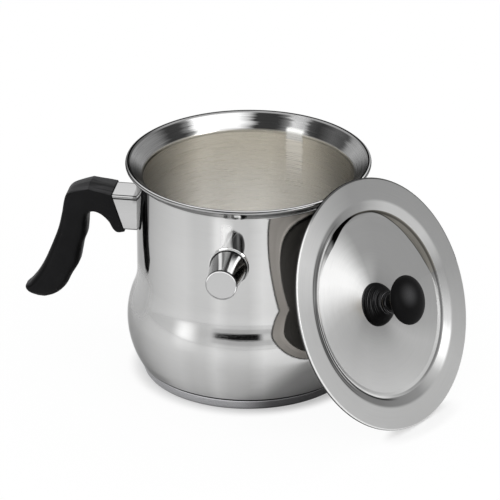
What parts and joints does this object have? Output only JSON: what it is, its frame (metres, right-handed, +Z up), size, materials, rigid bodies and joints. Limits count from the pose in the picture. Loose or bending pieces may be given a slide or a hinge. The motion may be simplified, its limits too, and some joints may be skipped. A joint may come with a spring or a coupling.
{
  "type": "milk boiler",
  "caption": "Double-walled steel milk boiler with a flared rim, a whistling filler cap, a drooping black handle and a flanged lid with a knob, leaning on the rim.",
  "frame": {"origin": "centre of the pot's flat underside, on the pot's axis", "axes": "+Z up along the pot's axis; the whistle points along -Y and the handle along -X; the lid leans on the rim between +X and -Y"},
  "size_m": [0.3301, 0.2329, 0.1702],
  "materials": {
    "polished_steel": "mirror-polished stainless steel",
    "brushed_steel": "circularly brushed stainless steel",
    "plain_steel": "plain stainless steel",
    "aluminium": "plain aluminium",
    "brass": "plain brass",
    "black_moulding": "satin black heat-proof moulding",
    "seal_rubber": "matt pale silicone"
  },
  "bodies": {
    "pot": {"outer_shell": "polished_steel", "inner_pot": "brushed_steel", "base_cap": "brushed_steel", "base_core": "aluminium", "filler_neck": "polished_steel", "handle_bracket": "plain_steel", "handle_ferrule": "polished_steel", "handle_grip": "black_moulding", "handle_screw": "plain_steel", "handle_insert": "brass"},
    "whistle": {"whistle_cap": "polished_steel", "whistle_stem": "plain_steel", "whistle_seal": "seal_rubber", "whistle_disc_inner": "brass", "whistle_disc_outer": "brass"},
    "lid": {"lid_plate": "brushed_steel", "lid_knob": "black_moulding", "knob_insert": "brass", "knob_washer": "plain_steel", "knob_screw": "plain_steel"}
  },
  "joints": [
    {"name": "whistle_pull", "type": "slide", "parent": "pot", "child": "whistle", "axis": [0, -1, 0], "range_m": [0, 0.045]},
    {"name": "lid_lift", "type": "slide", "parent": "pot", "child": "lid", "axis": [0, 0, 1], "range_m": [0, 0.2]}
  ]
}
